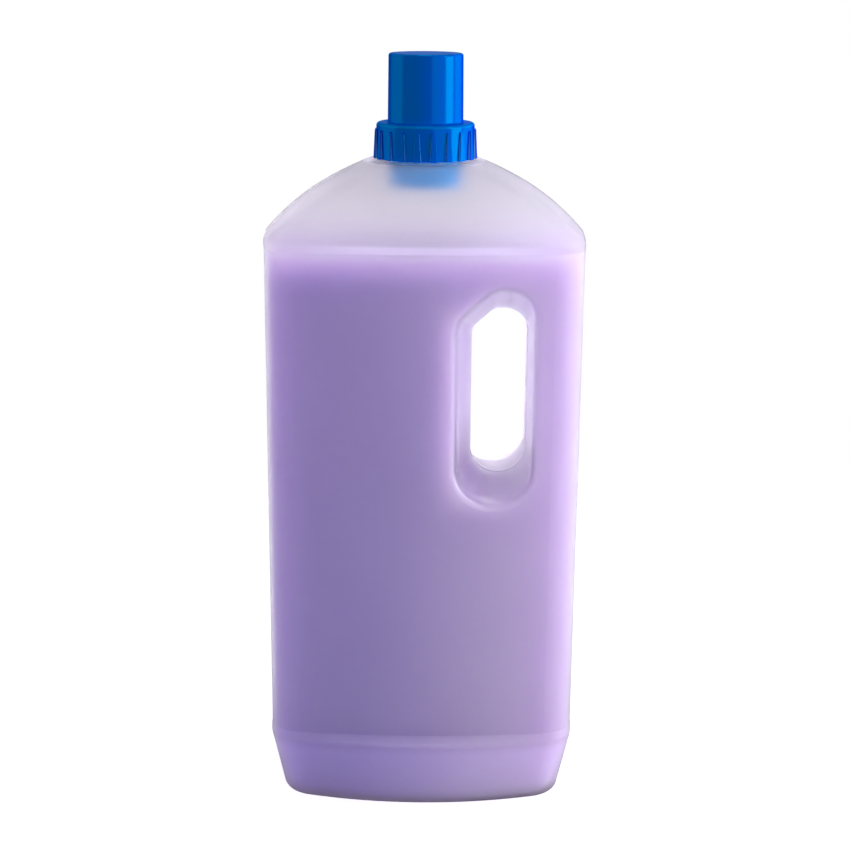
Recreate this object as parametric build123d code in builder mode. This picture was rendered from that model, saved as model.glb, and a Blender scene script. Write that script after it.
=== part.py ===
from build123d import *
import math
import os

# A two-litre fabric softener bottle: a blow-moulded shell with a handle tunnel, the liquid in it,
# and a screw-on dosing cap. Millimetres, Z up, front towards -Y, handle on the +X side.
# The origin lies on the ground under the axis of the neck.

# Shell
wall = 0.9
overrun = 2.0
pick_margin = 0.02

# Plan of the shell: the front and the back bow outwards, the sides a little.
# The rim of the shoulder is the widest; each step is how far a side lies inside it.
body_width = 133.2
body_depth = 82.0
panel_step = 3.0
panel_top_side_step = 0.6
panel_bottom_side_step = 1.4
foot_rim_side_step = 1.1
foot_base_side_step = 6.9
foot_base_step = 5.0
foot_base_bow = 10.5
rim_bow = 8.0
panel_bow = 5.0
side_bow = 2.0
corner_radius = 14.0

# Heights of the shell, each from the one below it
foot_height = 29.6
foot_ledge_height = 3.7
panel_height = 205.8
shoulder_ledge_height = 3.8
shoulder_rise = 29.8

# Shoulder: rises from its rim to a round root under the neck
root_reach = 3.0
shoulder_width_bow = 3.9
shoulder_bow_skew_share = 0.8
shoulder_depth_bow = 4.0
shoulder_side_bow = 3.0
root_bow_share = 0.24
root_corner_share = 0.62
shoulder_level_shares = (0, 0.25, 0.5, 0.75, 1)

# Rounded edges of the shell
foot_edge_radius = 5.0
foot_rim_radius = 2.6
shoulder_rim_radius = 5.0

# Push-up in the base: leaves a band to stand on
stand_band_width = 11.0
push_up_height = 4.0
push_up_slope = 5.0
push_up_corner_radius = 12.0

# Handle tunnel: a straight land at the mid plane, and a funnel from it to the front and to the back
grip_post = 22.9
grip_width = 23.7
grip_drop = 27.1
grip_height = 72.6
grip_slant_width = 9.5
grip_slant_height = 8.3
grip_slant_radius = 6.0
grip_crown_radius = 10.0
grip_floor_round_share = 0.96
grip_land = 10.0
funnel_flare_left = 6.4
funnel_flare_right = 0.9
funnel_flare_top = 12.2
funnel_flare_bottom = 3.8
funnel_flare_slant = 5.2
funnel_flare_round = 4.0
funnel_mouth_radius = 3.2

# Neck
neck_radius = 17.4
neck_wall = 1.7
neck_height = 13.7
neck_lip_radius = 0.5
collar_reach = 1.15
collar_height = 0.6

# Liquid
liquid_drop = 1.5
liquid_gap = 0.25

# Dosing cap: skirt, deck and tower, with the dosing cup inside them
cap_seat_gap = 0.1
deck_thickness = 1.6
deck_edge_radius = 1.3
skirt_length = 12.8
skirt_gap = 1.6
skirt_wall = 1.35
skirt_taper = 0.2
tower_height = 27.7
tower_wall = 1.8
tower_taper = 0.25
tower_foot_radius = 0.6
tower_edge_radius = 1.0
tower_top_wall = 1.7
cup_tube_gap = 1.1
cup_tube_wall = 0.9
cup_taper = 0.3
cup_bottom_radius = 1.6
cup_tube_length = 24.5
seal_gap = 0.15
seal_depth = 3.6
seal_height = 2.6

# Grip ribs around the skirt: narrow at the top, wider and standing out more at the bottom
rib_count = 20
rib_length = 11.6
rib_top_width = 1.3
rib_bottom_width = 2.8
rib_top_reach = 0.55
rib_bottom_reach = 1.0
rib_top_round_share = 0.96

panel_depth = body_depth - 2 * panel_step
foot_base_width = body_width - 2 * foot_base_side_step
foot_base_depth = body_depth - 2 * foot_base_step
foot_ledge_level = foot_height + foot_ledge_height
panel_top = foot_ledge_level + panel_height
shoulder_rim_level = panel_top + shoulder_ledge_height
root_level = shoulder_rim_level + shoulder_rise
neck_top = root_level + neck_height
liquid_level = panel_top - liquid_drop
grip_right = body_width / 2 - grip_post
grip_left = grip_right - grip_width
grip_top = panel_top - grip_drop
grip_bottom = grip_top - grip_height
funnel_depth = (panel_depth - panel_bow) / 2
neck_bore_radius = neck_radius - neck_wall
skirt_inner_radius = neck_radius + skirt_gap
skirt_radius = skirt_inner_radius + skirt_wall
collar_radius = skirt_radius + collar_reach
root_radius = collar_radius + root_reach
seal_radius = neck_bore_radius - seal_gap
tube_radius = neck_bore_radius - cup_tube_gap
cup_mouth_radius = tube_radius - cup_tube_wall
cup_floor_radius = cup_mouth_radius - cup_taper
tower_radius = cup_mouth_radius + tower_wall
deck_bottom = neck_top + cap_seat_gap
deck_top = deck_bottom + deck_thickness
skirt_bottom = deck_bottom - skirt_length
tower_top = deck_top + tower_height
cup_bottom = tower_top - tower_top_wall
cup_mouth = deck_bottom - cup_tube_length
seal_level = deck_bottom - seal_depth
rib_pitch_angle = 360 / rib_count


def plan_section(level, width, depth, bow, side, corner):
    """One plan outline of the shell: four bowed sides with round corners."""
    corner_x = width / 2 - side
    corner_y = depth / 2 - bow
    with BuildSketch(Plane.XY.offset(level)) as section:
        with BuildLine():
            ThreePointArc((-corner_x, -corner_y), (0, -depth / 2), (corner_x, -corner_y))
            ThreePointArc((corner_x, -corner_y), (width / 2, 0), (corner_x, corner_y))
            ThreePointArc((corner_x, corner_y), (0, depth / 2), (-corner_x, corner_y))
            ThreePointArc((-corner_x, corner_y), (-width / 2, 0), (-corner_x, -corner_y))
        make_face()
        fillet(section.vertices(), corner)
    return section.sketch


def blend(start, end, share, bow=0, skew=0):
    """The value a share of the way from start to end, bowed outwards in between, more so near the end."""
    return start + (end - start) * share + 4 * bow * share * (1 - share) * (1 + skew * share)


def shoulder_section(share, inset):
    """The shoulder's plan outline a share of the way up from its rim to the neck."""
    rise = shoulder_rise - inset
    root = root_radius - inset
    half_width = body_width / 2 - inset
    half_depth = body_depth / 2 - inset
    return plan_section(
        shoulder_rim_level + rise * share,
        2 * blend(half_width, root, share, shoulder_width_bow, shoulder_bow_skew_share),
        2 * blend(half_depth, root, share, shoulder_depth_bow),
        blend(rim_bow, root * root_bow_share, share),
        blend(side_bow, root * root_bow_share, share, shoulder_side_bow),
        blend(corner_radius - inset, root * root_corner_share, share),
    )


def grip_outline(depth, grow):
    """The tunnel's outline at a depth in front of the mid plane, with all sides moved out by grow."""
    flare = (depth - grip_land / 2) / (funnel_depth - grip_land / 2)
    left = grip_left - funnel_flare_left * flare - grow
    right = grip_right + funnel_flare_right * flare + grow
    bottom = grip_bottom - funnel_flare_bottom * flare - grow
    top = grip_top + funnel_flare_top * flare + grow
    slant_width = grip_slant_width + funnel_flare_slant * flare
    slant_height = grip_slant_height + funnel_flare_slant * flare
    floor_radius = (right - left) / 2 * grip_floor_round_share
    corners = (
        (left, bottom),
        (right, bottom),
        (right, top),
        (left + slant_width, top),
        (left, top - slant_height),
    )
    slant_radius = grip_slant_radius + funnel_flare_round * flare + grow
    radii = (floor_radius, floor_radius, grip_crown_radius + grow, slant_radius, slant_radius)
    with BuildSketch(Plane.XZ.offset(depth)) as outline:
        with BuildLine():
            FilletPolyline(*corners, radius=radii, close=True)
        make_face()
    return outline.sketch


def grip_tunnel(grow):
    """The space of the handle tunnel, with all its walls moved out by grow."""
    mouth_depth = panel_depth / 2 + overrun
    with BuildPart() as tunnel:
        extrude(grip_outline(grip_land / 2, grow), amount=-grip_land / 2)
        loft([grip_outline(grip_land / 2, grow), grip_outline(mouth_depth, grow)], ruled=True)
        mirror(about=Plane.XZ)
    return tunnel.part


def push_up(grow):
    """The hollow under the base, with all its walls moved out by grow."""
    width = foot_base_width - 2 * (stand_band_width - grow)
    depth = foot_base_depth - 2 * (stand_band_width - grow)
    bow = foot_base_bow * depth / foot_base_depth
    with BuildPart() as hollow:
        low = plan_section(0, width, depth, bow, side_bow, push_up_corner_radius)
        high = plan_section(
            push_up_height + grow,
            width - 2 * push_up_slope,
            depth - 2 * push_up_slope,
            bow,
            side_bow,
            push_up_corner_radius - push_up_slope,
        )
        loft([low, high], ruled=True)
    return hollow.part


def level_edges(part, level):
    """The edges that lie at one level."""
    return part.edges().filter_by_position(Axis.Z, level - pick_margin, level + pick_margin)


def shell_form(inset):
    """The shell as a filled form, with all its faces moved inwards by the inset."""
    outlines = (
        (inset, foot_base_width, foot_base_depth, foot_base_bow),
        (foot_height, body_width - 2 * foot_rim_side_step, body_depth, rim_bow),
        (foot_ledge_level, body_width - 2 * panel_bottom_side_step, panel_depth, panel_bow),
        (panel_top, body_width - 2 * panel_top_side_step, panel_depth, panel_bow),
        (shoulder_rim_level, body_width, body_depth, rim_bow),
    )
    sections = [
        plan_section(level, width - 2 * inset, depth - 2 * inset, bow, side_bow, corner_radius - inset)
        for level, width, depth, bow in outlines
    ]
    tunnel = grip_tunnel(inset)
    hollow = push_up(inset)
    mouth_nearest = panel_depth / 2 - panel_bow - inset
    mouth_farthest = panel_depth / 2
    with BuildPart() as form:
        loft(sections, ruled=True)
        loft([shoulder_section(share, inset) for share in shoulder_level_shares])
        fillet(level_edges(form, inset), foot_edge_radius - inset)
        fillet(level_edges(form, foot_height), foot_rim_radius - inset)
        fillet(level_edges(form, shoulder_rim_level), shoulder_rim_radius - inset)
        add(tunnel, mode=Mode.SUBTRACT)
        cut_edges = form.edges(Select.LAST)
        front_mouth = cut_edges.filter_by_position(Axis.Y, -mouth_farthest, -mouth_nearest)
        back_mouth = cut_edges.filter_by_position(Axis.Y, mouth_nearest, mouth_farthest)
        fillet(front_mouth + back_mouth, funnel_mouth_radius - inset)
        add(hollow, mode=Mode.SUBTRACT)
    return form.part


# Bottle: the filled form with its neck, hollowed by the same form moved in by the wall
with BuildPart() as bottle:
    add(shell_form(0))
    with BuildSketch(Plane.XY.offset(root_level - wall)):
        Circle(collar_radius)
    extrude(amount=wall + collar_height)
    with BuildSketch(Plane.XY.offset(root_level - wall)):
        Circle(neck_radius)
    extrude(amount=wall + neck_height)
    fillet(level_edges(bottle, neck_top), neck_lip_radius)
    add(shell_form(wall), mode=Mode.SUBTRACT)
    with BuildSketch(Plane.XY.offset(root_level - 2 * wall)):
        Circle(neck_bore_radius)
    extrude(amount=2 * wall + neck_height + overrun, mode=Mode.SUBTRACT)

# Liquid: fills the hollow up to its level
with BuildPart() as softener:
    add(shell_form(wall + liquid_gap))
    split(bisect_by=Plane.XY.offset(liquid_level), keep=Keep.BOTTOM)

# One grip rib, on the front of the skirt
rib_lean = math.degrees(math.atan2(rib_bottom_reach - rib_top_reach, rib_length))
rib_plane = Plane(
    origin=(0, -skirt_radius - rib_bottom_reach, skirt_bottom),
    x_dir=(1, 0, 0),
    z_dir=Vector(0, -1, 0).rotate(Axis.X, -rib_lean),
)
with BuildPart() as rib:
    with BuildSketch(rib_plane):
        with BuildLine():
            FilletPolyline(
                (-rib_bottom_width / 2, 0),
                (-rib_top_width / 2, rib_length),
                (rib_top_width / 2, rib_length),
                (rib_bottom_width / 2, 0),
                radius=rib_top_width / 2 * rib_top_round_share,
            )
            Line((rib_bottom_width / 2, 0), (-rib_bottom_width / 2, 0))
        make_face()
    extrude(amount=-rib_bottom_reach - skirt_wall / 2)

# Dosing cap: one turned profile, with the ribs around it and a gap between two of them in front
with BuildPart() as dosing_cap:
    with BuildSketch(Plane.XZ):
        with BuildLine():
            Polyline(
                (0, tower_top),
                (tower_radius - tower_taper, tower_top),
                (tower_radius, deck_top),
                (skirt_radius - skirt_taper, deck_top),
                (skirt_radius, skirt_bottom),
                (skirt_inner_radius, skirt_bottom),
                (skirt_inner_radius, deck_bottom),
                (tube_radius, deck_bottom),
                (tube_radius, seal_level + seal_height / 2),
                (seal_radius, seal_level),
                (tube_radius, seal_level - seal_height / 2),
                (tube_radius, cup_mouth),
                (cup_mouth_radius, cup_mouth),
                (cup_floor_radius, cup_bottom),
                (0, cup_bottom),
                close=True,
            )
        make_face()
    revolve(axis=Axis.Z)
    deck_circles = level_edges(dosing_cap, deck_top).sort_by(SortBy.RADIUS)
    fillet(deck_circles[0], tower_foot_radius)
    fillet(deck_circles[-1], deck_edge_radius)
    fillet(level_edges(dosing_cap, tower_top), tower_edge_radius)
    fillet(level_edges(dosing_cap, cup_bottom), cup_bottom_radius)
    with PolarLocations(0, rib_count, start_angle=rib_pitch_angle / 2):
        add(rib.part)

for piece, name in ((bottle, "bottle"), (softener, "softener"), (dosing_cap, "dosing_cap")):
    piece.part.label = name

os.makedirs("parts", exist_ok=True)
export_step(bottle.part, "parts/bottle.step")
export_step(softener.part, "parts/softener.step")
export_step(dosing_cap.part, "parts/dosing_cap.step")
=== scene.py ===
import math

import bmesh
import bpy
from mathutils import Euler, Matrix, Vector


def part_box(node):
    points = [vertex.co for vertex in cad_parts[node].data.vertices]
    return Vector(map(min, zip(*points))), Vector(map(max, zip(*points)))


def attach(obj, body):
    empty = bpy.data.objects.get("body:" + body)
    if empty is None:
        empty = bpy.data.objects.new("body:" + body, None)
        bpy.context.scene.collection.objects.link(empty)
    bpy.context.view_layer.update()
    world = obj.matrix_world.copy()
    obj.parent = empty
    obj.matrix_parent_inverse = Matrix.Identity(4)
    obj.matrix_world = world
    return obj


bl_info = {
    "name": "Fabric softener bottle",
    "version": (1, 0, 0),
    "blender": (4, 5, 0),
    "location": "3D View > Sidebar > Bottle",
    "description": "Dresses a see-through softener bottle, its liquid and its dosing cap",
    "category": "Object",
}

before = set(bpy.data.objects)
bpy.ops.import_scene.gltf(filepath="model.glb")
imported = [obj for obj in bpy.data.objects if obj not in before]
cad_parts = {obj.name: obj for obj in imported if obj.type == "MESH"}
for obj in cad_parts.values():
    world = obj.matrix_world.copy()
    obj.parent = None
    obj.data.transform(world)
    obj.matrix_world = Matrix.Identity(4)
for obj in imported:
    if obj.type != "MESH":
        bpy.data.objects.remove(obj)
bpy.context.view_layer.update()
BOTTLE_LOW, BOTTLE_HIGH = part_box("bottle")
_, CAP_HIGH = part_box("dosing_cap")
LIQUID_LOW, LIQUID_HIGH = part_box("softener")

MM = 0.001
FULL_TURN = 2 * math.pi

# Sockets of a Mix node that carry colours
COLOUR_A, COLOUR_B, COLOUR_OUT = 6, 7, 2


# Node trees


class Signal:
    """A node's output that can be used in sums and products; each of them adds a Math node."""

    def __init__(self, graph, socket):
        self.graph = graph
        self.socket = socket

    def maths(self, operation, first, second):
        return self.graph.node("ShaderNodeMath", {"operation": operation}, {0: first, 1: second})

    def __add__(self, other):
        return self.maths("ADD", self, other)

    def __radd__(self, other):
        return self.maths("ADD", other, self)

    def __sub__(self, other):
        return self.maths("SUBTRACT", self, other)

    def __rsub__(self, other):
        return self.maths("SUBTRACT", other, self)

    def __mul__(self, other):
        return self.maths("MULTIPLY", self, other)

    def __rmul__(self, other):
        return self.maths("MULTIPLY", other, self)

    def __abs__(self):
        return self.graph.node("ShaderNodeMath", {"operation": "ABSOLUTE"}, {0: self})


class Graph:
    """A node tree that is being built."""

    def __init__(self, tree):
        self.tree = tree

    def node(self, kind, settings=None, sockets=None, output=0):
        """Adds a node, sets it up, fills its sockets with values or links, and gives one output."""
        node = self.tree.nodes.new(kind)
        for name, value in (settings or {}).items():
            setattr(node, name, value)
        for name, value in (sockets or {}).items():
            if isinstance(value, Signal):
                self.tree.links.new(value.socket, node.inputs[name])
            else:
                node.inputs[name].default_value = value
        return Signal(self, node.outputs[output]) if node.outputs else node

    def tint(self, share, low, high):
        """A colour that goes from low, a colour or another tint, to high with the share."""
        low = low if isinstance(low, Signal) else (*low, 1.0)
        return self.node(
            "ShaderNodeMix",
            {"data_type": "RGBA"},
            {"Factor": share, COLOUR_A: low, COLOUR_B: (*high, 1.0)},
            COLOUR_OUT,
        )

    def noise(self, place, scale, detail=2.0):
        sockets = {"Vector": place, "Scale": scale, "Detail": detail}
        return self.node("ShaderNodeTexNoise", None, sockets, "Fac")

    def window(self, value, low, high):
        """Goes smoothly from 0 to 1 as the value goes from low to high."""
        return self.node(
            "ShaderNodeMapRange",
            {"interpolation_type": "SMOOTHSTEP"},
            {"Value": value, "From Min": low, "From Max": high},
            "Result",
        )

    def band(self, value, rise, fall):
        """Goes from 0 to 1 over the rise and back to 0 over the fall, each a pair of values."""
        return self.window(value, *rise) * (1.0 - self.window(value, *fall))

    def rays(self, *kinds):
        """Is 1 for rays of these kinds, one signal for each."""
        node = self.tree.nodes.new("ShaderNodeLightPath")
        return [Signal(self, node.outputs["Is " + kind + " Ray"]) for kind in kinds]

    def object_place(self):
        return self.node("ShaderNodeTexCoord", None, None, "Object")

    def split(self, place):
        node = self.tree.nodes.new("ShaderNodeSeparateXYZ")
        self.tree.links.new(place.socket, node.inputs[0])
        return [Signal(self, output) for output in node.outputs]


def new_material(name):
    material = bpy.data.materials.new(name)
    material.use_nodes = True
    material.node_tree.nodes.clear()
    return material, Graph(material.node_tree)


def surface(graph, shader, inside=None):
    sockets = {"Surface": shader}
    if inside:
        sockets["Volume"] = inside
    graph.node("ShaderNodeOutputMaterial", None, sockets)


# Finishes


def past(level, edge):
    """Both ends of a soft edge that is given in mm from this level."""
    return [level + step * MM for step in edge]


# Soft edges of the wall's zones in mm: where a change begins and where it is complete.
# Shoulder and ledge are counted from the liquid's level, collar and grip from their own places.
SHOULDER_EDGE = (-6.0, 6.0)
LEDGE_START, LEDGE_END, LEDGE_SIDES = (1.0, 2.0), (4.0, 5.6), (10.0, 60.0)
FOOT_START, FOOT_END, SOLE_END = (0.0, 9.0), (24.0, 31.0), (0.3, 1.5)
COLLAR_START, COLLAR_END = (-1.0, 0.0), (0.6, 1.4)
PAINTED_LIGHT_RIGHT, PAINTED_LIGHT_SIDES = (0.0, 55.0), (15.0, 60.0)
GRIP_LEFT, GRIP_RIGHT = (0.0, 3.0), (-3.0, 0.0)
GRIP_BOTTOM, GRIP_TOP = (0.0, 4.0), (-4.0, 0.0)
GRIP_DEPTH, GRIP_CLEARING = (-5.0, 0.0), (10.0, 45.0)
LIP_DEPTH, LIP_HEIGHT, LIP_WIDTH = (-9.0, -5.0), (20.0, 45.0), (12.0, 26.0)

# How much each zone changes the wall's thickness, clearness, roughness and coat. Some shares are painted
# light and shade: the paler right and sides of the shoulder, the ledge's highlight, the sole's shade, the
# paler foot, and in part the paler collar and grip.
CLOUD_THICK, SHOULDER_THICK, LEDGE_PAINTED_HIGHLIGHT, SOLE_PAINTED_SHADE = 0.3, 0.7, 0.9, 0.6
PAINTED_LIGHT_RIGHT_SHARE, PAINTED_LIGHT_SIDES_SHARE = 0.15, 0.2
FOOT_PAINTED_LIGHT, COLLAR_CLEAR_AND_HIGHLIGHT, GRIP_CLEAR_LEAST = 0.7, 0.6, 0.25
WALL_ROUGH, CLOUD_ROUGH, SHOULDER_ROUGH = 0.36, 0.08, 0.42
WALL_COAT, LIP_COAT = 0.1, 0.7

# Grain of the wall, in waves for each metre
CLOUD_SCALE, PEEL_SCALE, RIPPLE_SCALE = 26.0, 380.0, 55.0
PEEL_SHARE = 0.35


def grip_zones(graph, look, across, along, height):
    """The stretched, thinner wall inside the grip's funnels, with painted light on it that grows towards the
    top, and the glossier lower left of their lips.
    """
    left, _, bottom = look.grip_low
    right, depth, top = look.grip_high
    inward = abs(along)
    mouth = graph.band(across, past(left, GRIP_LEFT), past(right, GRIP_RIGHT))
    mouth = mouth * graph.band(height, past(bottom, GRIP_BOTTOM), past(top, GRIP_TOP))
    lip = mouth * graph.window(inward, *past(depth, LIP_DEPTH))
    lip = lip * (1.0 - graph.window(height, *past(bottom, LIP_HEIGHT)))
    lip = lip * (1.0 - graph.window(across, *past(left, LIP_WIDTH)))
    clearing = graph.window(height, *past(bottom, GRIP_CLEARING))
    grip = mouth * (1.0 - graph.window(inward, *past(depth, GRIP_DEPTH)))
    grip = grip * (GRIP_CLEAR_LEAST + (1.0 - GRIP_CLEAR_LEAST) * clearing)
    return grip, lip


def milky_wall_material(look):
    """Natural polyethylene: clouded through its thickness, with a satin skin and fine orange peel; its tint
    also carries painted light and shade by place.
    """
    material, graph = new_material("milky_wall")
    place = graph.object_place()
    across, along, height = graph.split(place)
    level, collar_level, aside = LIQUID_HIGH.z, look.collar_level, abs(across)
    shoulder = graph.window(height, *past(level, SHOULDER_EDGE))
    # Painted highlight: a lighter band on the wall just above the liquid's level, fading out to the sides.
    ledge = graph.band(height, past(level, LEDGE_START), past(level, LEDGE_END))
    ledge = ledge * (1.0 - graph.window(aside, *past(0.0, LEDGE_SIDES)))
    grip, lip = grip_zones(graph, look, across, along, height)
    # Painted light: a paler band of wall over the foot.
    foot = graph.band(height, past(0.0, FOOT_START), past(0.0, FOOT_END))
    # Painted shade: a darker line along the sole.
    painted_sole_shade = 1.0 - graph.window(height, *past(0.0, SOLE_END))
    # A paler line at the collar: partly the whiter plastic of the thick neck, partly a painted highlight on
    # its edge.
    collar = graph.band(height, past(collar_level, COLLAR_START), past(collar_level, COLLAR_END))
    # Where the wall takes the pale grip colour: the grip funnels, partly the thinner stretched wall and
    # partly painted light, the foot and the collar.
    clear = grip + foot * FOOT_PAINTED_LIGHT + collar * COLLAR_CLEAR_AND_HIGHLIGHT
    # Painted light: the shoulder's wall is paler towards the right and at both sides.
    painted_light_right = graph.window(across, *past(0.0, PAINTED_LIGHT_RIGHT)) * PAINTED_LIGHT_RIGHT_SHARE
    pale = painted_light_right + graph.window(aside, *past(0.0, PAINTED_LIGHT_SIDES)) * PAINTED_LIGHT_SIDES_SHARE
    cloud = graph.noise(place, CLOUD_SCALE, detail=3.0)
    peel = graph.noise(place, PEEL_SCALE)
    ripple = graph.noise(place, RIPPLE_SCALE, detail=1.0)
    skin_height = peel * PEEL_SHARE + ripple
    bump = graph.node(
        "ShaderNodeBump", None, {"Strength": 0.18, "Distance": 0.25 * MM, "Height": skin_height}
    )
    # The wall's tint: cloud and shoulder thicken it; the shoulder's paler right and sides, the ledge's
    # lighter band and the sole's darker line are painted light and shade.
    thickness_and_painted_light = cloud * CLOUD_THICK + shoulder * SHOULDER_THICK - shoulder * pale
    thickness_and_painted_light = thickness_and_painted_light - ledge * LEDGE_PAINTED_HIGHLIGHT + painted_sole_shade * SOLE_PAINTED_SHADE
    tinted = graph.tint(thickness_and_painted_light, look.wall_thin, look.wall_thick)
    wall = graph.node(
        "ShaderNodeBsdfPrincipled",
        None,
        {
            "Base Color": graph.tint(clear, tinted, look.wall_grip_and_painted_light),
            "Roughness": WALL_ROUGH + cloud * CLOUD_ROUGH + shoulder * SHOULDER_ROUGH,
            # Lower than the plastic's, so that the liquid's colour shows in the slanted walls of the grip
            "IOR": 1.11,
            "Transmission Weight": look.wall_clearness,
            "Coat Weight": WALL_COAT + lip * LIP_COAT,
            "Coat Roughness": 0.15,
            "Normal": bump,
        },
    )
    passing = graph.node("ShaderNodeBsdfTransparent", None, {"Color": (*look.wall_shade, 1.0)})
    (shadow,) = graph.rays("Shadow")
    skin = graph.node("ShaderNodeMixShader", None, {0: shadow, 1: wall, 2: passing})
    cloudy = graph.node(
        "ShaderNodeVolumeAbsorption", None, {"Color": (*look.wall_depth, 1.0), "Density": look.wall_density}
    )
    surface(graph, skin, cloudy)
    return material


# Soft edges of the liquid's painted light in mm. The painted glow is counted from the grip's corners,
# the lighter left rim from the liquid's left side, and the lighter layer under the surface from its level.
GLOW_LEFT, GLOW_RIGHT = (-12.0, 3.0), (-20.0, -5.0)
GLOW_BOTTOM, GLOW_TOP = (-8.0, 12.0), (-20.0, 0.0)
LEFT_RIM, UNDER_LEVEL = (0.0, 22.0), (-16.0, 0.0)
RIGHT_LIGHT_FROM = -30 * MM

# How much height, swirls and zones change the liquid's colour; the height gives a painted shade towards the
# base, the zones painted light
UPWARDS_SHADE_SHARE, SWIRL_SHARE = 0.7, 0.3
GLOW_SHARE, LEFT_RIM_LIGHT_SHARE, UNDER_LEVEL_LIGHT_SHARE = 0.6, 0.22, 0.7
SWIRL_SCALE = 9.0
SWIRL_REACH = 10 * MM


def lilac_liquid_material(look, grip):
    """Milky softener: light scatters deep inside it; its colour also carries painted light and shade by
    place.
    """
    material, graph = new_material("lilac_liquid")
    place = graph.object_place()
    swirl = graph.noise(place, SWIRL_SCALE)
    across, _, height = graph.split(place)
    # Painted shade: the liquid is darker towards the base.
    up = graph.window(height, 0.0, LIQUID_HIGH.z)
    deep = graph.tint(up * UPWARDS_SHADE_SHARE + swirl * SWIRL_SHARE, look.liquid_low_shaded, look.liquid_high)
    # Painted light: the liquid turns lighter towards its right side.
    thin = graph.window(across + swirl * SWIRL_REACH, RIGHT_LIGHT_FROM, LIQUID_HIGH.x)
    left, _, bottom = grip.grip_low
    right, _, top = grip.grip_high
    # Painted glow: the liquid is lighter around the grip.
    glow = graph.band(across, past(left, GLOW_LEFT), past(right, GLOW_RIGHT))
    glow = glow * graph.band(height, past(bottom, GLOW_BOTTOM), past(top, GLOW_TOP))
    # Painted light: a lighter rim along the liquid's left side.
    left_rim_light = 1.0 - graph.window(across, *past(LIQUID_LOW.x, LEFT_RIM))
    body = graph.tint(thin + glow * GLOW_SHARE + left_rim_light * LEFT_RIM_LIGHT_SHARE, deep, look.liquid_painted_light)
    # Painted light: the liquid is lighter just under its surface.
    under_level_light = graph.window(height, *past(LIQUID_HIGH.z, UNDER_LEVEL))
    colour = graph.tint(under_level_light * UNDER_LEVEL_LIGHT_SHARE, body, look.liquid_top_painted_light)
    liquid = graph.node(
        "ShaderNodeBsdfPrincipled",
        None,
        {
            "Base Color": colour,
            "Roughness": 0.4,
            "IOR": 1.33,
            "Specular IOR Level": 0.05,
            "Subsurface Weight": 1.0,
            "Subsurface Radius": (1.0, 0.75, 1.0),
            "Subsurface Scale": look.liquid_depth,
        },
    )
    passing = graph.node("ShaderNodeBsdfTransparent", None, {"Color": (*look.liquid_shade, 1.0)})
    (shadow,) = graph.rays("Shadow")
    surface(graph, graph.node("ShaderNodeMixShader", None, {0: shadow, 1: liquid, 2: passing}))
    return material


# Soft edges of the cap's zones in mm: painted light on the tube, a painted highlight on deck and crown. Tube
# and deck are counted from the neck's rim and from the cup's radius, and the crown from the cap's top.
TUBE_RADIUS, TUBE_TOP = (2.0, 4.0), (0.0, 2.0)
DECK_START, DECK_END, DECK_RADIUS = (0.2, 1.0), (2.0, 2.4), (2.2, 2.8)
CROWN_START = (-0.8, -0.2)
CROWN_HIGHLIGHT_SHARE = 0.8

# Flow marks and grain of the cap, in waves for each metre
FLOW_SCALE, GRAIN_SCALE = 90.0, 700.0
GRAIN_SHARE = 0.2
CAP_ROUGH, FLOW_ROUGH = 0.1, 0.05


def blue_cap_material(look):
    """Glossy polypropylene with faint flow marks, a painted highlight on its deck and crown, and painted
    light in its thin tube.
    """
    material, graph = new_material("blue_cap")
    place = graph.object_place()
    across, along, height = graph.split(place)
    flat_place = graph.node("ShaderNodeCombineXYZ", None, {"X": across, "Y": along})
    radius = graph.node("ShaderNodeVectorMath", {"operation": "LENGTH"}, {0: flat_place}, "Value")
    rim, cup_radius = BOTTLE_HIGH.z, look.cup_radius
    # The thin tube is lighter: partly its thin plastic, partly painted light shining through it.
    inner = 1.0 - graph.window(radius, *past(cup_radius, TUBE_RADIUS))
    tube = inner * (1.0 - graph.window(height, *past(rim, TUBE_TOP)))
    flow = graph.noise(place, FLOW_SCALE)
    grain = graph.noise(place, GRAIN_SCALE)
    rough = CAP_ROUGH + flow * FLOW_ROUGH
    marks = flow + grain * GRAIN_SHARE
    bump = graph.node("ShaderNodeBump", None, {"Strength": 0.08, "Distance": 0.1 * MM, "Height": marks})
    body = graph.tint(flow, look.cap_dark, look.cap_light)
    # Painted highlight: the deck and the tower's crown are lighter.
    deck = graph.band(height, past(rim, DECK_START), past(rim, DECK_END))
    deck = deck * graph.window(radius, *past(cup_radius, DECK_RADIUS))
    crown = graph.window(height, *past(CAP_HIGH.z, CROWN_START))
    edge_highlighted = graph.tint(deck + crown * CROWN_HIGHLIGHT_SHARE, body, look.cap_edge_highlight)
    thin = graph.tint(tube, edge_highlighted, look.cap_thin_and_backlit)
    plastic = graph.node(
        "ShaderNodeBsdfPrincipled",
        None,
        {"Base Color": thin, "Roughness": rough, "Specular IOR Level": 0.0, "Normal": bump},
    )
    gloss = graph.node(
        "ShaderNodeBsdfPrincipled",
        None,
        {
            "Base Color": (*look.cap_sheen, 1.0),
            "Metallic": 1.0,
            "Roughness": rough,
            "Specular Tint": (*look.cap_sheen, 1.0),
            "Normal": bump,
        },
    )
    surface(graph, graph.node("ShaderNodeMixShader", None, {0: look.cap_gloss, 1: plastic, 2: gloss}))
    return material


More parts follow.
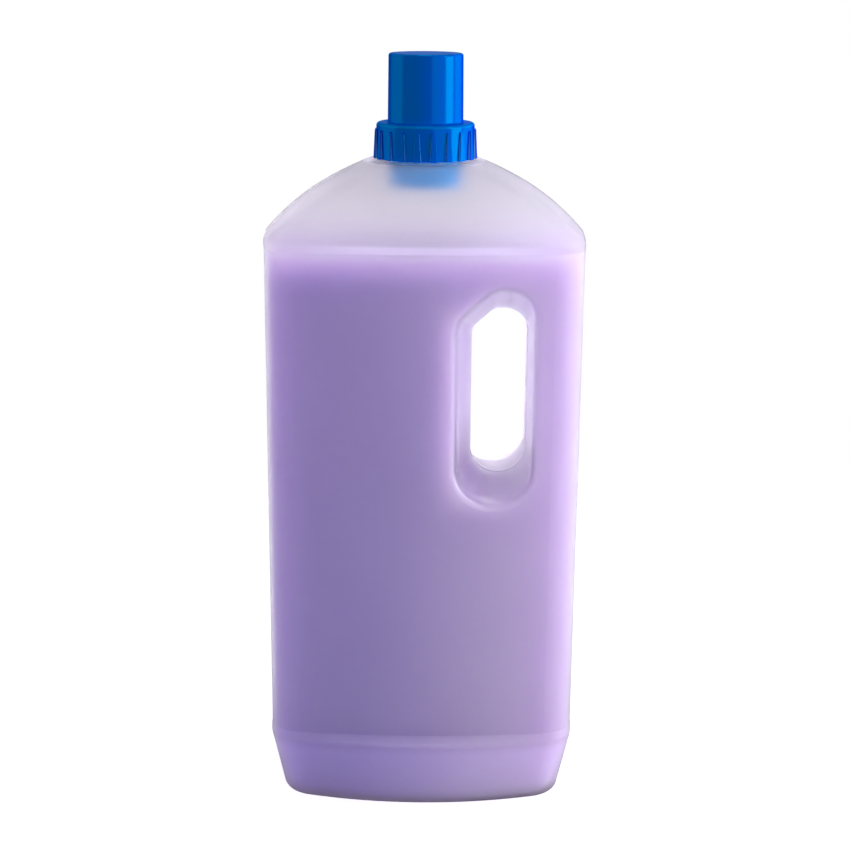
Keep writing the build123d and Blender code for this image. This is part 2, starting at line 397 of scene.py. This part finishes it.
def pale_floor_material(look):
    """A white floor that keeps the bottle's shadow and looks white to the camera and through the wall, save a
    painted shade near the bottle in reflections and through the wall.
    """
    material, graph = new_material("pale_floor")
    reach = graph.node("ShaderNodeVectorMath", {"operation": "LENGTH"}, {0: graph.object_place()}, "Value")
    direct, mirrored, passed = graph.rays("Camera", "Glossy", "Transmission")
    # Painted shade: near the bottle its lift is left out of reflections and out of the view through the wall.
    outside_painted_shade = graph.window(reach, look.floor_shade_start, look.floor_shade_end)
    seen = direct + (mirrored + passed) * outside_painted_shade
    lit = graph.node("ShaderNodeBsdfDiffuse", None, {"Color": (*look.floor_colour, 1.0)})
    lift = graph.node("ShaderNodeEmission", None, {"Strength": seen * look.floor_lift})
    pale = graph.node("ShaderNodeAddShader", None, {0: lit, 1: lift})
    open_air = graph.node("ShaderNodeBsdfTransparent")
    below = graph.node("ShaderNodeNewGeometry", None, None, "Backfacing")
    fade = graph.window(reach, look.floor_fade_start, look.floor_fade_end) + below
    surface(graph, graph.node("ShaderNodeMixShader", None, {0: fade, 1: pale, 2: open_air}))
    return material


# Pieces


def new_object(name, mesh):
    piece = bpy.data.objects.new(name, mesh)
    bpy.context.scene.collection.objects.link(piece)
    return piece


def geometry_tree(name):
    tree = bpy.data.node_groups.new(name, "GeometryNodeTree")
    tree.is_modifier = True
    tree.interface.new_socket("Geometry", in_out="INPUT", socket_type="NodeSocketGeometry")
    tree.interface.new_socket("Geometry", in_out="OUTPUT", socket_type="NodeSocketGeometry")
    return tree, Graph(tree)


def tree_input(graph, name, kind="NodeSocketFloat"):
    """A named input of the tree, as a signal."""
    graph.tree.interface.new_socket(name, in_out="INPUT", socket_type=kind)
    node = graph.tree.nodes.new("NodeGroupInput")
    return Signal(graph, node.outputs[name])


def finish_tree(graph, geometry, material):
    """Realizes the geometry, gives it its material and ends the tree."""
    real = graph.node("GeometryNodeRealizeInstances", None, {0: geometry})
    coated = graph.node("GeometryNodeSetMaterial", None, {"Geometry": real, "Material": material})
    graph.node("NodeGroupOutput", None, {"Geometry": coated})


def grown_piece(name, tree, values, source=None):
    """A plain mesh piece made by a geometry tree with these input values."""
    mesh = source if source else bpy.data.meshes.new(name + "_source")
    seed = new_object(name + "_seed", mesh)
    modifier = seed.modifiers.new(name, "NODES")
    modifier.node_group = tree
    for item in tree.interface.items_tree:
        if item.in_out == "INPUT" and item.name in values:
            modifier[item.identifier] = values[item.name]
    evaluated = seed.evaluated_get(bpy.context.evaluated_depsgraph_get())
    grown = bpy.data.meshes.new_from_object(evaluated)
    grown.name = name
    bpy.data.objects.remove(seed)
    return new_object(name, grown)


# Sides of the round profiles, and how the threads run out: over which share of their length, and to what size
THREAD_SIDES, BEAD_SIDES, RING_SIDES = 10, 8, 96
RUN_OUT, RUN_OUT_SIZE = 0.06, 0.02


def round_profile(graph, sides, radius):
    return graph.node(
        "GeometryNodeCurvePrimitiveCircle", {"mode": "RADIUS"}, {"Resolution": sides, "Radius": radius}
    )


def helix_tree(name, material):
    """A screw thread: a helix swept with a round bead that runs out at both ends."""
    tree, graph = geometry_tree(name)
    radius = tree_input(graph, "Radius")
    turns = tree_input(graph, "Turns")
    rise = tree_input(graph, "Rise")
    start = tree_input(graph, "Start")
    reach = tree_input(graph, "Reach")
    spiral = graph.node(
        "GeometryNodeCurveSpiral",
        None,
        {"Resolution": 72, "Rotations": turns, "Start Radius": radius, "End Radius": radius, "Height": rise},
    )
    lift = graph.node("ShaderNodeCombineXYZ", None, {"Z": start})
    placed = graph.node("GeometryNodeTransform", None, {"Geometry": spiral, "Translation": lift})
    along = graph.node("GeometryNodeSplineParameter", None, None, "Factor")
    run_out = graph.band(along, (0.0, RUN_OUT), (1.0 - RUN_OUT, 1.0))
    upright = graph.node("GeometryNodeSetCurveNormal", {"mode": "Z_UP"}, {"Curve": placed})
    bead = round_profile(graph, THREAD_SIDES, reach)
    swept = graph.node(
        "GeometryNodeCurveToMesh",
        None,
        {"Curve": upright, "Profile Curve": bead, "Scale": run_out + RUN_OUT_SIZE, "Fill Caps": True},
    )
    finish_tree(graph, swept, material)
    return tree


def ring_tree(name, material):
    """Fine rings, one above the other: the fill lines inside the dosing cup."""
    tree, graph = geometry_tree(name)
    count = tree_input(graph, "Count", "NodeSocketInt")
    radius = tree_input(graph, "Radius")
    start = tree_input(graph, "Start")
    step = tree_input(graph, "Step")
    reach = tree_input(graph, "Reach")
    circle = round_profile(graph, RING_SIDES, radius)
    bead = round_profile(graph, BEAD_SIDES, reach)
    ring = graph.node("GeometryNodeCurveToMesh", None, {"Curve": circle, "Profile Curve": bead})
    places = graph.node(
        "GeometryNodeMeshLine",
        None,
        {
            "Count": count,
            "Start Location": graph.node("ShaderNodeCombineXYZ", None, {"Z": start}),
            "Offset": graph.node("ShaderNodeCombineXYZ", None, {"Z": step}),
        },
    )
    rings = graph.node("GeometryNodeInstanceOnPoints", None, {"Points": places, "Instance": ring})
    finish_tree(graph, rings, material)
    return tree


def rib_edge_tree(name, material):
    """Sloped flanks of the grip ribs: a bar up each side and one over the tip, all the way around."""
    tree, graph = geometry_tree(name)
    count = tree_input(graph, "Count", "NodeSocketInt")
    low = [tree_input(graph, "Low " + part) for part in ("half width", "level")]
    high = [tree_input(graph, "High " + part) for part in ("half width", "level")]
    root = tree_input(graph, "Root radius")
    reach = tree_input(graph, "Reach")
    rise = tree_input(graph, "Rise")
    tip_share = tree_input(graph, "Tip share")

    def corner(side, half, level):
        return graph.node("ShaderNodeCombineXYZ", None, {"X": half * side, "Y": root * -1.0, "Z": level})

    slope = graph.node(
        "GeometryNodeCurvePrimitiveQuadrilateral",
        {"mode": "KITE"},
        {"Width": reach * 2.0, "Bottom Height": rise, "Top Height": reach},
    )
    upwards = graph.node("GeometryNodeSplineParameter", None, None, "Factor")
    narrowing = 1.0 - upwards * (1.0 - tip_share)
    sideways, upright = (1.0, 0.0, 0.0), (0.0, 0.0, 1.0)
    bars = (
        (corner(-1.0, *low), corner(-1.0, *high), sideways, narrowing),
        (corner(1.0, *low), corner(1.0, *high), sideways, narrowing),
        (corner(1.0, *high), corner(-1.0, *high), upright, tip_share),
    )
    join = graph.tree.nodes.new("GeometryNodeJoinGeometry")
    for start, end, normal, scale in bars:
        run = graph.node("GeometryNodeCurvePrimitiveLine", {"mode": "POINTS"}, {"Start": start, "End": end})
        facing = graph.node("GeometryNodeSetCurveNormal", {"mode": "FREE"}, {"Curve": run, "Normal": normal})
        bar = graph.node(
            "GeometryNodeCurveToMesh",
            None,
            {"Curve": facing, "Profile Curve": slope, "Scale": scale, "Fill Caps": True},
        )
        graph.tree.links.new(bar.socket, join.inputs[0])
    edge = Signal(graph, join.outputs[0])
    places = graph.node("GeometryNodeMeshLine", None, {"Count": count, "Offset": (0.0, 0.0, 0.0)})
    pitch = graph.node("ShaderNodeMath", {"operation": "DIVIDE"}, {0: FULL_TURN, 1: count})
    # Half a pitch on, so that a gap between two ribs faces the front
    turned = (graph.node("GeometryNodeInputIndex") + 0.5) * pitch
    around = graph.node("ShaderNodeCombineXYZ", None, {"Z": turned})
    edges = graph.node(
        "GeometryNodeInstanceOnPoints", None, {"Points": places, "Instance": edge, "Rotation": around}
    )
    finish_tree(graph, edges, material)
    return tree


def seam_tree(name, material):
    """A low rounded bead along the edges it is given: the parting line of the mould."""
    tree, graph = geometry_tree(name)
    inlet = Signal(graph, graph.tree.nodes.new("NodeGroupInput").outputs["Geometry"])
    reach = tree_input(graph, "Reach")
    path = graph.node("GeometryNodeMeshToCurve", None, {"Mesh": inlet})
    bead = round_profile(graph, BEAD_SIDES, reach)
    swept = graph.node(
        "GeometryNodeCurveToMesh", None, {"Curve": path, "Profile Curve": bead, "Fill Caps": True}
    )
    finish_tree(graph, swept, material)
    return tree


# Points closer than this are one point of the solid, or too close for the bead along the section
SAME_POINT, SHORT_EDGE = 0.001 * MM, 0.02 * MM


def wall_section(lowest, highest):
    """The wall's outlines in its mid plane, outside and inside, between two levels, as a mesh of edges."""
    section = bmesh.new()
    section.from_mesh(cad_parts["bottle"].data)
    bmesh.ops.remove_doubles(section, verts=section.verts, dist=SAME_POINT)
    everything = section.verts[:] + section.edges[:] + section.faces[:]
    cut = bmesh.ops.bisect_plane(section, geom=everything, plane_co=(0, 0, 0), plane_no=(0, 1, 0))
    kept = {part for part in cut["geom_cut"] if isinstance(part, bmesh.types.BMEdge)}
    others = [edge for edge in section.edges if edge not in kept]
    bmesh.ops.delete(section, geom=others, context="EDGES")
    outside = [
        vert
        for vert in section.verts
        if not lowest < vert.co.z < highest or not vert.link_edges
    ]
    bmesh.ops.delete(section, geom=outside, context="VERTS")
    bmesh.ops.remove_doubles(section, verts=section.verts, dist=SHORT_EDGE)
    mesh = bpy.data.meshes.new("wall_section")
    section.to_mesh(mesh)
    section.free()
    return mesh


# Sizes and colours that a user would change


class BottleLook(bpy.types.PropertyGroup):
    """The wall of the bottle and the mould's traces on it."""

    wall_thin: bpy.props.FloatVectorProperty(
        name="Thin wall", description="Colour of the wall where it is thin", subtype="COLOR",
        size=3, min=0, max=1, default=(0.76, 0.745, 0.80),
    )
    wall_thick: bpy.props.FloatVectorProperty(
        name="Thick wall", description="Colour of the wall where it is thicker", subtype="COLOR",
        size=3, min=0, max=1, default=(0.56, 0.545, 0.58),
    )
    # Partly painted light: this pale colour lights the grip funnels, the foot and the collar.
    wall_grip_and_painted_light: bpy.props.FloatVectorProperty(
        name="Wall in the grip", description="Colour of the stretched, thinner wall in the grip funnel",
        subtype="COLOR", size=3, min=0, max=1, default=(0.94, 0.92, 1.0),
    )
    grip_low: bpy.props.FloatVectorProperty(
        name="Grip low corner", description="Lowest corner of the grip funnels", subtype="XYZ", unit="LENGTH",
        default=(10.5 * MM, 0.0, 131.5 * MM),
    )
    grip_high: bpy.props.FloatVectorProperty(
        name="Grip high corner",
        description="Highest corner of the grip funnels, with its depth from the mid plane",
        subtype="XYZ", unit="LENGTH", default=(47.5 * MM, 36.0 * MM, 228.0 * MM),
    )
    collar_level: bpy.props.FloatProperty(
        name="Collar", description="Height of the collar under the cap",
        unit="LENGTH", min=0, default=272.9 * MM,
    )
    wall_shade: bpy.props.FloatVectorProperty(
        name="Passing light", description="Colour of the light that one skin of the wall lets in",
        subtype="COLOR", size=3, min=0, max=1, default=(0.97, 0.965, 0.975),
    )
    wall_depth: bpy.props.FloatVectorProperty(
        name="Depth colour", description="What the plastic lets pass along its depth", subtype="COLOR",
        size=3, min=0, max=1, default=(0.5, 0.46, 0.56),
    )
    wall_density: bpy.props.FloatProperty(
        name="Density", description="How cloudy the plastic is for each metre of depth", min=0, default=50.0,
    )
    wall_clearness: bpy.props.FloatProperty(
        name="Clearness", description="How much of the view passes through the wall",
        subtype="FACTOR", min=0, max=1, default=0.92,
    )
    seam_reach: bpy.props.FloatProperty(
        name="Seam", description="How far the parting line stands out of the wall",
        unit="LENGTH", min=0, default=0.14 * MM,
    )
    thread_radius: bpy.props.FloatProperty(
        name="Neck radius", description="Radius of the neck that carries the thread",
        unit="LENGTH", min=0, default=17.4 * MM,
    )
    thread_reach: bpy.props.FloatProperty(
        name="Thread reach", description="How far the neck's thread stands out",
        unit="LENGTH", min=0, default=0.75 * MM,
    )
    thread_turns: bpy.props.FloatProperty(
        name="Thread turns", description="Turns of the thread on the neck", min=0, default=1.6,
    )
    thread_pitch: bpy.props.FloatProperty(
        name="Thread pitch", description="Rise of the thread in one turn",
        unit="LENGTH", min=0, default=4.0 * MM,
    )


class LiquidLook(bpy.types.PropertyGroup):
    """The softener."""

    # Darker than the upper colour: painted shade towards the base.
    liquid_low_shaded: bpy.props.FloatVectorProperty(
        name="Lower colour", description="Colour of the liquid near the base", subtype="COLOR",
        size=3, min=0, max=1, default=(0.24, 0.187, 0.475),
    )
    liquid_high: bpy.props.FloatVectorProperty(
        name="Upper colour", description="Colour of the liquid near its level", subtype="COLOR",
        size=3, min=0, max=1, default=(0.29, 0.193, 0.49),
    )
    # Painted light: the lit right side, the left rim and the glow around the grip.
    liquid_painted_light: bpy.props.FloatVectorProperty(
        name="Thin colour", description="Colour of the liquid around the grip, where it is thin",
        subtype="COLOR", size=3, min=0, max=1, default=(0.51, 0.41, 0.625),
    )
    # Painted light just under the surface.
    liquid_top_painted_light: bpy.props.FloatVectorProperty(
        name="Surface colour", description="Colour of the liquid just under its surface", subtype="COLOR",
        size=3, min=0, max=1, default=(0.58, 0.47, 0.72),
    )
    liquid_shade: bpy.props.FloatVectorProperty(
        name="Passing light", description="Colour of the light that the liquid's surface lets through",
        subtype="COLOR", size=3, min=0, max=1, default=(0.85, 0.76, 0.92),
    )
    liquid_depth: bpy.props.FloatProperty(
        name="Depth of light", description="How far light scatters in the liquid",
        unit="LENGTH", min=0, default=40.0 * MM,
    )


class CapLook(bpy.types.PropertyGroup):
    """The dosing cap."""

    cap_dark: bpy.props.FloatVectorProperty(
        name="Dark blue", description="Colour of the cap", subtype="COLOR",
        size=3, min=0, max=1, default=(0.0, 0.02, 0.76),
    )
    cap_light: bpy.props.FloatVectorProperty(
        name="Light blue", description="Colour of the cap's flow marks", subtype="COLOR",
        size=3, min=0, max=1, default=(0.0, 0.028, 0.84),
    )
    # Painted highlight on the deck and the crown.
    cap_edge_highlight: bpy.props.FloatVectorProperty(
        name="Cap edges", description="Colour of the deck and of the tower's crown",
        subtype="COLOR", size=3, min=0, max=1, default=(0.0, 0.15, 0.86),
    )
    # Partly painted light: light shining through the thin tube.
    cap_thin_and_backlit: bpy.props.FloatVectorProperty(
        name="Thin blue", description="Colour of the thin tube under the deck", subtype="COLOR",
        size=3, min=0, max=1, default=(0.0, 0.36, 0.88),
    )
    cap_gloss: bpy.props.FloatProperty(
        name="Gloss", description="How much the cap reflects", subtype="FACTOR", min=0, max=1, default=0.1,
    )
    cap_sheen: bpy.props.FloatVectorProperty(
        name="Sheen", description="Tint of the reflections", subtype="COLOR",
        size=3, min=0, max=1, default=(0.0, 0.58, 0.9),
    )
    cup_radius: bpy.props.FloatProperty(
        name="Cup radius", description="Radius of the dosing cup at its fill lines",
        unit="LENGTH", min=0, default=13.45 * MM,
    )
    rib_count: bpy.props.IntProperty(name="Ribs", description="Grip ribs around the skirt", min=1, default=20)
    rib_bottom: bpy.props.FloatProperty(
        name="Rib bottom", description="Level of the skirt's lower rim", unit="LENGTH", default=273.7 * MM,
    )
    rib_length: bpy.props.FloatProperty(
        name="Rib length", description="Length of a grip rib", unit="LENGTH", min=0, default=11.6 * MM,
    )
    rib_low_width: bpy.props.FloatProperty(
        name="Lower width", description="Width of a rib at its foot", unit="LENGTH", min=0, default=2.8 * MM,
    )
    rib_high_width: bpy.props.FloatProperty(
        name="Upper width", description="Width of a rib at its tip", unit="LENGTH", min=0, default=1.3 * MM,
    )
    rib_low_radius: bpy.props.FloatProperty(
        name="Lower reach", description="Radius of the ribs' faces at their feet",
        unit="LENGTH", min=0, default=21.35 * MM,
    )
    rib_high_radius: bpy.props.FloatProperty(
        name="Upper reach", description="Radius of the ribs' faces at their tips",
        unit="LENGTH", min=0, default=20.9 * MM,
    )
    rib_root_radius: bpy.props.FloatProperty(
        name="Root radius", description="Radius just inside the skirt's surface, where the ribs' flanks end",
        unit="LENGTH", min=0, default=20.1 * MM,
    )
    rib_edge: bpy.props.FloatProperty(
        name="Rib flank", description="Reach of the sloped flanks of the grip ribs", unit="LENGTH", min=0,
        default=0.5 * MM,
    )
    skirt_radius: bpy.props.FloatProperty(
        name="Skirt radius", description="Inner radius of the skirt that carries the thread",
        unit="LENGTH", min=0, default=19.0 * MM,
    )
    thread_reach: bpy.props.FloatProperty(
        name="Thread reach", description="How far the cap's thread stands into the skirt",
        unit="LENGTH", min=0, default=0.7 * MM,
    )


class StageSetup(bpy.types.PropertyGroup):
    """Floor and camera."""

    floor_colour: bpy.props.FloatVectorProperty(
        name="Floor", description="Colour of the floor", subtype="COLOR",
        size=3, min=0, max=1, default=(0.8, 0.8, 0.8),
    )
    floor_lift: bpy.props.FloatProperty(
        name="Floor lift", description="What is added to the floor's own brightness in view",
        min=0, default=0.7,
    )
    # Painted shade: the reach around the bottle where the floor's lift is left out of reflections and views
    # through the wall.
    floor_shade_start: bpy.props.FloatProperty(
        name="Shade start", description="How far the bottle's shade under itself is full",
        unit="LENGTH", min=0, default=0.06,
    )
    floor_shade_end: bpy.props.FloatProperty(
        name="Shade end", description="Where that shade has ended", unit="LENGTH", min=0, default=0.2,
    )
    floor_fade_start: bpy.props.FloatProperty(
        name="Fade start", description="Where the floor begins to fade into the white of the studio",
        unit="LENGTH", min=0, default=0.25,
    )
    floor_fade_end: bpy.props.FloatProperty(
        name="Fade end", description="Where the floor has faded away", unit="LENGTH", min=0, default=0.6,
    )
    camera_place: bpy.props.FloatVectorProperty(
        name="Camera", description="Where the camera stands", subtype="XYZ", unit="LENGTH",
        size=3, default=(0.7 * MM, -750 * MM, 355 * MM),
    )
    camera_pitch: bpy.props.FloatProperty(
        name="Camera pitch", description="How far the camera looks down", subtype="ANGLE",
        default=math.radians(14.586),
    )
    camera_roll: bpy.props.FloatProperty(
        name="Camera roll", description="How far the camera is turned about its view", subtype="ANGLE",
        default=math.radians(0.43),
    )
    camera_lens: bpy.props.FloatProperty(
        name="Lens", description="Focal length in millimetres on a 36 mm frame", min=1, default=76.83,
    )


# Operators


# How far the trim stays below the neck's rim or the cap's top, and above the ground
NECK_THREAD_DROP, CAP_THREAD_DROP = 2.4 * MM, 4.4 * MM
SEAM_BOTTOM, SEAM_DROP = 8 * MM, 16 * MM
DOSE_LINE_COUNT, DOSE_LINE_DROP, DOSE_LINE_STEP, DOSE_LINE_REACH = 2, 38 * MM, 12 * MM, 0.3 * MM

# Lamps: name, place, width and height in metres, power in watts
SOFTBOXES = (
    ("softbox_right", (0.94, -0.2, 0.28), 0.5, 0.7, 4.1),
    ("softbox_back_right", (0.92, 0.5, 0.4), 0.8, 0.7, 3.7),
    ("softbox_front_right", (0.75, -0.85, 0.5), 1.0, 1.0, 2.0),
    ("softbox_high_right", (0.75, -0.25, 0.95), 0.2, 0.2, 0.9),
    ("softbox_left", (-1.05, 0.25, 0.45), 1.2, 1.2, 2.9),
    ("softbox_top", (0.0, 0.1, 1.4), 0.4, 0.5, 2.0),
    ("softbox_back", (0.0, 1.3, 0.5), 1.2, 0.9, 1.5),
)

# Floor: half its width, and how far it lies below the bottle so that their faces don't coincide
FLOOR_HALF, FLOOR_DROP = 12.0, 0.2 * MM

# What the white studio adds to the lamps, and the width in mm of the frame that the lens is given for
SKY_LIGHT = 0.08
FRAME_WIDTH = 36.0


def dress_node(node, material):
    """Gives a carried-over node its finish."""
    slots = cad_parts[node].data.materials
    slots.clear()
    slots.append(material)


class BOTTLE_OT_wall(bpy.types.Operator):
    """Finish the wall of the bottle"""

    bl_idname = "bottle.wall"
    bl_label = "Finish the wall"

    def execute(self, context):
        dress_node("bottle", milky_wall_material(context.scene.bottle_look))
        return {"FINISHED"}


class BOTTLE_OT_liquid(bpy.types.Operator):
    """Finish the liquid"""

    bl_idname = "bottle.liquid"
    bl_label = "Finish the liquid"

    def execute(self, context):
        dress_node("softener", lilac_liquid_material(context.scene.liquid_look, context.scene.bottle_look))
        return {"FINISHED"}


class BOTTLE_OT_cap(bpy.types.Operator):
    """Finish the dosing cap"""

    bl_idname = "bottle.cap"
    bl_label = "Finish the cap"

    def execute(self, context):
        dress_node("dosing_cap", blue_cap_material(context.scene.cap_look))
        return {"FINISHED"}


class BOTTLE_OT_threads(bpy.types.Operator):
    """Cut the threads on the neck and inside the cap's skirt"""

    bl_idname = "bottle.threads"
    bl_label = "Cut the threads"

    def execute(self, context):
        bottle, cap = context.scene.bottle_look, context.scene.cap_look
        rise = bottle.thread_turns * bottle.thread_pitch
        on_neck = {
            "Radius": bottle.thread_radius,
            "Turns": bottle.thread_turns,
            "Rise": rise,
            "Start": BOTTLE_HIGH.z - rise - NECK_THREAD_DROP,
            "Reach": bottle.thread_reach,
        }
        in_skirt = {
            "Radius": cap.skirt_radius,
            "Turns": bottle.thread_turns,
            "Rise": rise,
            "Start": BOTTLE_HIGH.z - rise - CAP_THREAD_DROP,
            "Reach": cap.thread_reach,
        }
        wall = bpy.data.materials["milky_wall"]
        blue = bpy.data.materials["blue_cap"]
        neck_thread = grown_piece("neck_thread", helix_tree("neck_thread", wall), on_neck)
        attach(neck_thread, "bottle")
        cap_thread = grown_piece("cap_thread", helix_tree("cap_thread", blue), in_skirt)
        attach(cap_thread, "dosing_cap")
        return {"FINISHED"}


class BOTTLE_OT_rib_edges(bpy.types.Operator):
    """Slope the flanks of the cap's grip ribs"""

    bl_idname = "bottle.rib_edges"
    bl_label = "Slope the ribs"

    def execute(self, context):
        cap = context.scene.cap_look
        rise = cap.rib_low_radius - cap.rib_root_radius
        values = {
            "Count": cap.rib_count,
            "Low half width": cap.rib_low_width / 2 - cap.rib_edge / 4,
            "Low level": cap.rib_bottom + cap.rib_edge / 4,
            "High half width": cap.rib_high_width / 2 - cap.rib_edge / 4,
            "High level": cap.rib_bottom + cap.rib_length - cap.rib_edge,
            "Root radius": cap.rib_root_radius,
            "Reach": cap.rib_edge,
            "Rise": rise,
            "Tip share": (cap.rib_high_radius - cap.rib_root_radius) / rise,
        }
        tree = rib_edge_tree("rib_edges", bpy.data.materials["blue_cap"])
        rib_edges = grown_piece("rib_edges", tree, values)
        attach(rib_edges, "dosing_cap")
        return {"FINISHED"}


class BOTTLE_OT_dose_lines(bpy.types.Operator):
    """Mould the fill lines inside the dosing cup"""

    bl_idname = "bottle.dose_lines"
    bl_label = "Mould the dose lines"

    def execute(self, context):
        values = {
            "Count": DOSE_LINE_COUNT,
            "Radius": context.scene.cap_look.cup_radius,
            "Start": CAP_HIGH.z - DOSE_LINE_DROP,
            "Step": DOSE_LINE_STEP,
            "Reach": DOSE_LINE_REACH,
        }
        tree = ring_tree("dose_lines", bpy.data.materials["blue_cap"])
        dose_lines = grown_piece("dose_lines", tree, values)
        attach(dose_lines, "dosing_cap")
        return {"FINISHED"}


class BOTTLE_OT_seam(bpy.types.Operator):
    """Lay the parting line of the mould along the wall"""

    bl_idname = "bottle.seam"
    bl_label = "Lay the parting line"

    def execute(self, context):
        values = {"Reach": context.scene.bottle_look.seam_reach}
        tree = seam_tree("parting_line", bpy.data.materials["milky_wall"])
        section = wall_section(SEAM_BOTTOM, BOTTLE_HIGH.z - SEAM_DROP)
        parting_line = grown_piece("parting_line", tree, values, section)
        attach(parting_line, "bottle")
        return {"FINISHED"}


def area_lamp(name, place, aim, width, height, power):
    lamp = bpy.data.lights.new(name, "AREA")
    lamp.shape = "RECTANGLE"
    lamp.size = width
    lamp.size_y = height
    lamp.energy = power
    holder = bpy.data.objects.new(name, lamp)
    holder.location = place
    holder.rotation_euler = (Vector(aim) - Vector(place)).to_track_quat("-Z", "Y").to_euler()
    bpy.context.scene.collection.objects.link(holder)


class BOTTLE_OT_stage(bpy.types.Operator):
    """Set up the floor, the lamps, the world and the camera"""

    bl_idname = "bottle.stage"
    bl_label = "Set up the stage"

    def execute(self, context):
        scene = context.scene
        setup = scene.stage_setup
        level = BOTTLE_LOW.z - FLOOR_DROP
        signs = ((-1, -1), (1, -1), (1, 1), (-1, 1))
        corners = [(x_sign * FLOOR_HALF, y_sign * FLOOR_HALF, level) for x_sign, y_sign in signs]
        mesh = bpy.data.meshes.new("floor")
        mesh.from_pydata(corners, [], [(0, 1, 2, 3)])
        mesh.materials.append(pale_floor_material(setup))
        new_object("floor", mesh)

        middle = (0, 0, CAP_HIGH.z / 2)
        for name, place, width, height, power in SOFTBOXES:
            area_lamp(name, place, middle, width, height, power)

        world = bpy.data.worlds.new("studio")
        scene.world = world
        world.use_nodes = True
        world.node_tree.nodes.clear()
        graph = Graph(world.node_tree)
        direct, mirrored, passed = graph.rays("Camera", "Glossy", "Transmission")
        strength = SKY_LIGHT + (direct + passed + mirrored) * (1.0 - SKY_LIGHT)
        sky = graph.node("ShaderNodeBackground", None, {"Color": (1.0, 1.0, 1.0, 1.0), "Strength": strength})
        graph.node("ShaderNodeOutputWorld", None, {"Surface": sky})

        camera = bpy.data.cameras.new("photo_camera")
        camera.lens = setup.camera_lens
        camera.sensor_width = FRAME_WIDTH
        holder = bpy.data.objects.new("photo_camera", camera)
        tilt = Euler((math.pi / 2 - setup.camera_pitch, 0, 0)).to_matrix()
        turn = tilt @ Matrix.Rotation(setup.camera_roll, 3, "Z")
        holder.matrix_world = Matrix.Translation(setup.camera_place) @ turn.to_4x4()
        scene.collection.objects.link(holder)
        scene.camera = holder
        scene.view_settings.view_transform = "Standard"
        return {"FINISHED"}


OPERATORS = (
    BOTTLE_OT_wall,
    BOTTLE_OT_liquid,
    BOTTLE_OT_cap,
    BOTTLE_OT_threads,
    BOTTLE_OT_rib_edges,
    BOTTLE_OT_dose_lines,
    BOTTLE_OT_seam,
    BOTTLE_OT_stage,
)


class BOTTLE_PT_maker(bpy.types.Panel):
    """Lists the steps that dress the bottle"""

    bl_idname = "BOTTLE_PT_maker"
    bl_label = "Softener bottle"
    bl_space_type = "VIEW_3D"
    bl_region_type = "UI"
    bl_category = "Bottle"

    def draw(self, context):
        for step in OPERATORS:
            self.layout.operator(step.bl_idname)


LOOKS = {
    "bottle_look": BottleLook,
    "liquid_look": LiquidLook,
    "cap_look": CapLook,
    "stage_setup": StageSetup,
}


def register():
    for look in LOOKS.values():
        bpy.utils.register_class(look)
    for name, look in LOOKS.items():
        setattr(bpy.types.Scene, name, bpy.props.PointerProperty(type=look))
    for step in OPERATORS:
        bpy.utils.register_class(step)
    bpy.utils.register_class(BOTTLE_PT_maker)


def unregister():
    bpy.utils.unregister_class(BOTTLE_PT_maker)
    for step in reversed(OPERATORS):
        bpy.utils.unregister_class(step)
    for name in LOOKS:
        delattr(bpy.types.Scene, name)
    for look in LOOKS.values():
        bpy.utils.unregister_class(look)


def main():
    register()
    bpy.ops.bottle.wall()
    bpy.ops.bottle.liquid()
    bpy.ops.bottle.cap()
    bpy.ops.bottle.threads()
    bpy.ops.bottle.rib_edges()
    bpy.ops.bottle.dose_lines()
    bpy.ops.bottle.seam()
    bpy.ops.bottle.stage()


if __name__ == "__main__":
    main()
